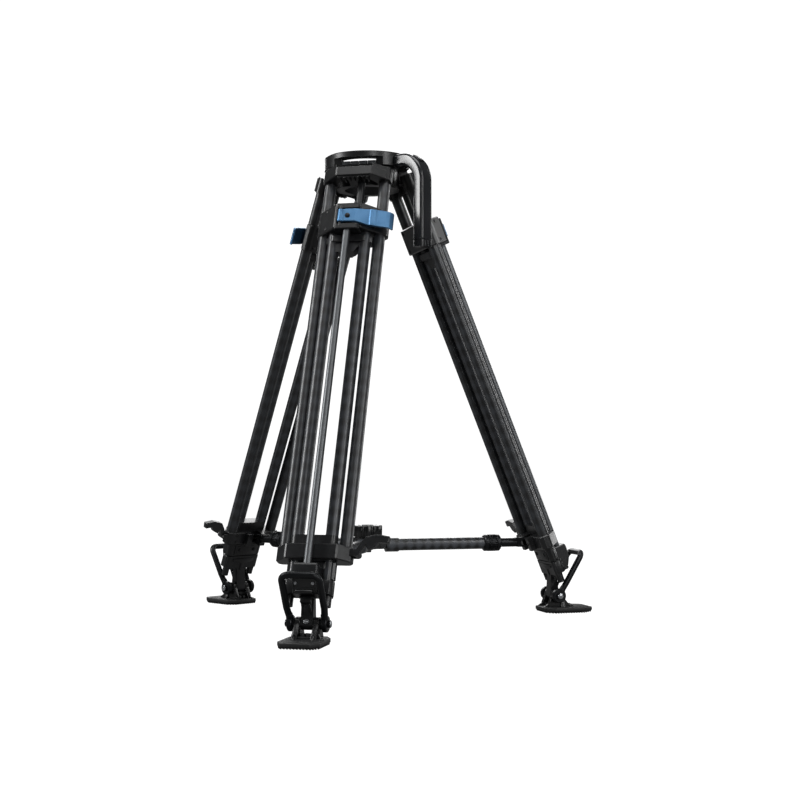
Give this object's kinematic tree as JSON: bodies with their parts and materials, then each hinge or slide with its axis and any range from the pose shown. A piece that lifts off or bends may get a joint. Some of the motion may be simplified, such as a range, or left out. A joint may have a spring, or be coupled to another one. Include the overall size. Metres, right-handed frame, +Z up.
{
  "type": "camera tripod",
  "caption": "Camera tripod with a half-ball bowl, paired telescoping tube legs, flip levers, tilting feet, carrying handle and a mid-level spreader.",
  "frame": {"origin": "floor level, in the middle of the bounding box of the standing tripod", "axes": "+Z up, parallel to the bowl's axis, which stands 71.11 mm towards +Y; -Y out along the front leg; X across it"},
  "size_m": [0.6584, 0.5938, 0.714],
  "materials": {
    "casting": "black coated casting, satin",
    "grip": "moulded grip, matt",
    "carbon": "wound carbon fibre, satin lacquer",
    "block": "glass-filled moulding, satin",
    "lever": "blue anodised, satin",
    "rod": "clear anodised",
    "steel": "bright turned steel",
    "rubber": "black rubber, matt",
    "knob": "black moulding, gloss",
    "ring": "ribbed moulding, matt"
  },
  "bodies": {
    "crown": {"crown": "casting", "carry_handle": "grip", "yoke_pins": "steel", "spread_locks": "steel"},
    "front_leg_upper": {"front_yoke": "casting", "front_outer_tubes": "carbon", "front_clamp_block": "block", "front_control_rod": "rod", "front_collar_block": "block"},
    "front_clamp_lever": {"front_clamp_lever": "lever"},
    "front_thumb_lever": {"front_thumb_lever": "block"},
    "front_leg_middle": {"front_inner_tubes": "carbon", "front_slider": "block", "front_mid_block": "block"},
    "front_leg_lower": {"front_lower_tubes": "carbon", "front_foot_block": "block", "front_foot_bolt": "steel"},
    "front_foot_pad": {"front_foot_pad": "rubber"},
    "front_bail": {"front_bail": "rubber"},
    "right_leg_upper": {"right_yoke": "casting", "right_outer_tubes": "carbon", "right_clamp_block": "block", "right_control_rod": "rod", "right_collar_block": "block"},
    "right_clamp_lever": {"right_clamp_lever": "lever"},
    "right_thumb_lever": {"right_thumb_lever": "block"},
    "right_leg_middle": {"right_inner_tubes": "carbon", "right_slider": "block", "right_mid_block": "block"},
    "right_leg_lower": {"right_lower_tubes": "carbon", "right_foot_block": "block", "right_foot_bolt": "steel"},
    "right_foot_pad": {"right_foot_pad": "rubber"},
    "right_bail": {"right_bail": "rubber"},
    "left_leg_upper": {"left_yoke": "casting", "left_outer_tubes": "carbon", "left_clamp_block": "block", "left_control_rod": "rod", "left_collar_block": "block"},
    "left_clamp_lever": {"left_clamp_lever": "lever"},
    "left_thumb_lever": {"left_thumb_lever": "block"},
    "left_leg_middle": {"left_inner_tubes": "carbon", "left_slider": "block", "left_mid_block": "block"},
    "left_leg_lower": {"left_lower_tubes": "carbon", "left_foot_block": "block", "left_foot_bolt": "steel"},
    "left_foot_pad": {"left_foot_pad": "rubber"},
    "left_bail": {"left_bail": "rubber"},
    "hub": {"spreader_hub": "block"},
    "knob": {"hub_knob": "knob"},
    "front_arm_tube": {"front_arm_tube": "carbon"},
    "front_arm_collar": {"front_arm_collar": "ring"},
    "front_arm_rod": {"front_arm_rod": "carbon"},
    "right_arm_tube": {"right_arm_tube": "carbon"},
    "right_arm_collar": {"right_arm_collar": "ring"},
    "right_arm_rod": {"right_arm_rod": "carbon"},
    "left_arm_tube": {"left_arm_tube": "carbon"},
    "left_arm_collar": {"left_arm_collar": "ring"},
    "left_arm_rod": {"left_arm_rod": "carbon"}
  },
  "joints": [
    {"name": "front_leg_spread", "type": "hinge", "parent": "crown", "child": "front_leg_upper", "pos_m": [0, 0.01261, 0.683], "axis": [-1, 0, 0], "range_deg": [-2, 10]},
    {"name": "front_clamp_lever_flip", "type": "hinge", "parent": "front_leg_upper", "child": "front_clamp_lever", "pos_m": [-0.01, -0.04933, 0.60482], "axis": [0, -0.3746, -0.9272], "range_deg": [0, 110]},
    {"name": "front_thumb_lever_turn", "type": "hinge", "parent": "front_leg_upper", "child": "front_thumb_lever", "pos_m": [0.0595, -0.20747, 0.11866], "axis": [0, 0.9272, -0.3746], "range_deg": [0, 50]},
    {"name": "front_middle_slide", "type": "slide", "parent": "front_leg_upper", "child": "front_leg_middle", "axis": [0, -0.3746, -0.9272], "range_m": [0, 0.42]},
    {"name": "front_lower_slide", "type": "slide", "parent": "front_leg_middle", "child": "front_leg_lower", "axis": [0, -0.3746, -0.9272], "range_m": [0, 0.42]},
    {"name": "front_foot_tilt", "type": "hinge", "parent": "front_leg_lower", "child": "front_foot_pad", "pos_m": [0, -0.23819, 0.0279], "axis": [1, 0, 0], "range_deg": [-20, 20]},
    {"name": "front_bail_swing", "type": "hinge", "parent": "front_leg_lower", "child": "front_bail", "pos_m": [0, -0.23819, 0.0279], "axis": [1, 0, 0], "range_deg": [0, 45]},
    {"name": "right_leg_spread", "type": "hinge", "parent": "crown", "child": "right_leg_upper", "pos_m": [0.05066, 0.10036, 0.683], "axis": [0.5, -0.866, 0], "range_deg": [-2, 10]},
    {"name": "right_clamp_lever_flip", "type": "hinge", "parent": "right_leg_upper", "child": "right_clamp_lever", "pos_m": [0.10931, 0.12267, 0.60482], "axis": [0.3244, 0.1873, -0.9272], "range_deg": [0, 110]},
    {"name": "right_thumb_lever_turn", "type": "hinge", "parent": "right_leg_upper", "child": "right_thumb_lever", "pos_m": [0.21151, 0.26193, 0.11866], "axis": [-0.803, -0.4636, -0.3746], "range_deg": [0, 50]},
    {"name": "right_middle_slide", "type": "slide", "parent": "right_leg_upper", "child": "right_leg_middle", "axis": [0.3244, 0.1873, -0.9272], "range_m": [0, 0.42]},
    {"name": "right_lower_slide", "type": "slide", "parent": "right_leg_middle", "child": "right_leg_lower", "axis": [0.3244, 0.1873, -0.9272], "range_m": [0, 0.42]},
    {"name": "right_foot_tilt", "type": "hinge", "parent": "right_leg_lower", "child": "right_foot_pad", "pos_m": [0.26786, 0.22576, 0.0279], "axis": [-0.5, 0.866, 0], "range_deg": [-20, 20]},
    {"name": "right_bail_swing", "type": "hinge", "parent": "right_leg_lower", "child": "right_bail", "pos_m": [0.26786, 0.22576, 0.0279], "axis": [-0.5, 0.866, 0], "range_deg": [0, 45]},
    {"name": "left_leg_spread", "type": "hinge", "parent": "crown", "child": "left_leg_upper", "pos_m": [-0.05066, 0.10036, 0.683], "axis": [0.5, 0.866, 0], "range_deg": [-2, 10]},
    {"name": "left_clamp_lever_flip", "type": "hinge", "parent": "left_leg_upper", "child": "left_clamp_lever", "pos_m": [-0.09931, 0.13999, 0.60482], "axis": [-0.3244, 0.1873, -0.9272], "range_deg": [0, 110]},
    {"name": "left_thumb_lever_turn", "type": "hinge", "parent": "left_leg_upper", "child": "left_thumb_lever", "pos_m": [-0.27101, 0.15887, 0.11866], "axis": [0.803, -0.4636, -0.3746], "range_deg": [0, 50]},
    {"name": "left_middle_slide", "type": "slide", "parent": "left_leg_upper", "child": "left_leg_middle", "axis": [-0.3244, 0.1873, -0.9272], "range_m": [0, 0.42]},
    {"name": "left_lower_slide", "type": "slide", "parent": "left_leg_middle", "child": "left_leg_lower", "axis": [-0.3244, 0.1873, -0.9272], "range_m": [0, 0.42]},
    {"name": "left_foot_tilt", "type": "hinge", "parent": "left_leg_lower", "child": "left_foot_pad", "pos_m": [-0.26786, 0.22576, 0.0279], "axis": [-0.5, -0.866, 0], "range_deg": [-20, 20]},
    {"name": "left_bail_swing", "type": "hinge", "parent": "left_leg_lower", "child": "left_bail", "pos_m": [-0.26786, 0.22576, 0.0279], "axis": [-0.5, -0.866, 0], "range_deg": [0, 45]},
    {"name": "hub_lift", "type": "slide", "parent": "crown", "child": "hub", "axis": [0, 0, 1], "range_m": [-0.0035, 0.0155]},
    {"name": "knob_turn", "type": "hinge", "parent": "hub", "child": "knob", "pos_m": [0, 0.07111, 0.13], "axis": [0, 0, 1], "continuous": true},
    {"name": "front_arm_tilt", "type": "hinge", "parent": "hub", "child": "front_arm_tube", "pos_m": [0, 0.04911, 0.1125], "axis": [-1, 0, 0], "range_deg": [-1.2, 5.2]},
    {"name": "front_arm_collar_twist", "type": "hinge", "parent": "front_arm_tube", "child": "front_arm_collar", "pos_m": [0, -0.13189, 0.1125], "axis": [0, -1, 0], "range_deg": [0, 60]},
    {"name": "front_arm_reach", "type": "slide", "parent": "front_arm_tube", "child": "front_arm_rod", "axis": [0, -1, 0], "range_m": [-0.0205, 0.099]},
    {"name": "right_arm_tilt", "type": "hinge", "parent": "hub", "child": "right_arm_tube", "pos_m": [0.01905, 0.08211, 0.1125], "axis": [0.5, -0.866, 0], "range_deg": [-1.2, 5.2]},
    {"name": "right_arm_collar_twist", "type": "hinge", "parent": "right_arm_tube", "child": "right_arm_collar", "pos_m": [0.1758, 0.17261, 0.1125], "axis": [0.866, 0.5, 0], "range_deg": [0, 60]},
    {"name": "right_arm_reach", "type": "slide", "parent": "right_arm_tube", "child": "right_arm_rod", "axis": [0.866, 0.5, 0], "range_m": [-0.0205, 0.099]},
    {"name": "left_arm_tilt", "type": "hinge", "parent": "hub", "child": "left_arm_tube", "pos_m": [-0.01905, 0.08211, 0.1125], "axis": [0.5, 0.866, 0], "range_deg": [-1.2, 5.2]},
    {"name": "left_arm_collar_twist", "type": "hinge", "parent": "left_arm_tube", "child": "left_arm_collar", "pos_m": [-0.1758, 0.17261, 0.1125], "axis": [-0.866, 0.5, 0], "range_deg": [0, 60]},
    {"name": "left_arm_reach", "type": "slide", "parent": "left_arm_tube", "child": "left_arm_rod", "axis": [-0.866, 0.5, 0], "range_m": [-0.0205, 0.099]}
  ],
  "couplings": [
    {"joint": "right_leg_spread", "follows": "front_leg_spread", "ratio": 1},
    {"joint": "left_leg_spread", "follows": "front_leg_spread", "ratio": 1},
    {"joint": "hub_lift", "follows": "front_leg_spread", "m_per_rad": 0.0867},
    {"joint": "front_arm_tilt", "follows": "front_leg_spread", "ratio": 0.5},
    {"joint": "front_arm_reach", "follows": "front_leg_spread", "m_per_rad": 0.5596},
    {"joint": "right_arm_tilt", "follows": "front_leg_spread", "ratio": 0.5},
    {"joint": "right_arm_reach", "follows": "front_leg_spread", "m_per_rad": 0.5596},
    {"joint": "left_arm_tilt", "follows": "front_leg_spread", "ratio": 0.5},
    {"joint": "left_arm_reach", "follows": "front_leg_spread", "m_per_rad": 0.5596}
  ]
}
